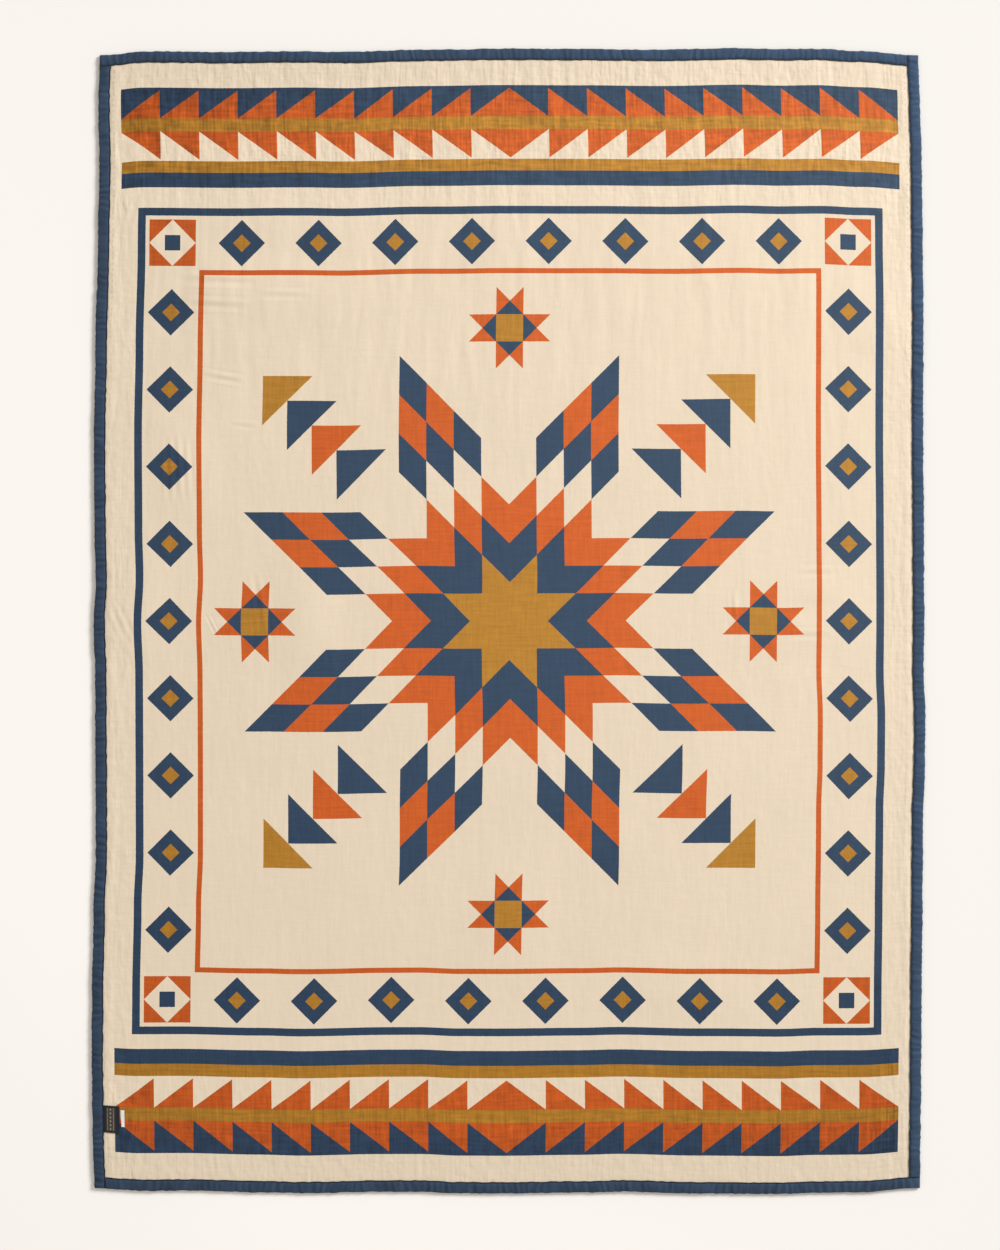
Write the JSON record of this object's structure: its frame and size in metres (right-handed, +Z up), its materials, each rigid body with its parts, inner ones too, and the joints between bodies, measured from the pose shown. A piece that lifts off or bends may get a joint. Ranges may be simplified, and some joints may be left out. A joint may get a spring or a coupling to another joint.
{
  "type": "star quilt blanket",
  "caption": "Flat rectangular throw of layered cotton gauze, lying face up, with folded binding strips round its edge and a sewn-in label and care tag.",
  "frame": {"origin": "on the floor, under the middle of the blanket's outline", "axes": "+Y towards the head end along the blanket's length, +Z up out of its face, +X across its width with the label's side at -X"},
  "size_m": [1.2878, 1.77, 0.0063],
  "materials": {
    "gauze": "matte layered cotton gauze, cream ground with navy, rust and ochre colouring",
    "binding": "matte navy cotton gauze",
    "label": "dark woven satin, bare",
    "care_tag": "white woven tape, bare"
  },
  "bodies": {
    "root": {"cloth": "gauze", "binding_left": "binding", "binding_head": "binding", "binding_right": "binding", "binding_foot": "binding", "label": "label", "care_tag": "care_tag"}
  },
  "joints": []
}
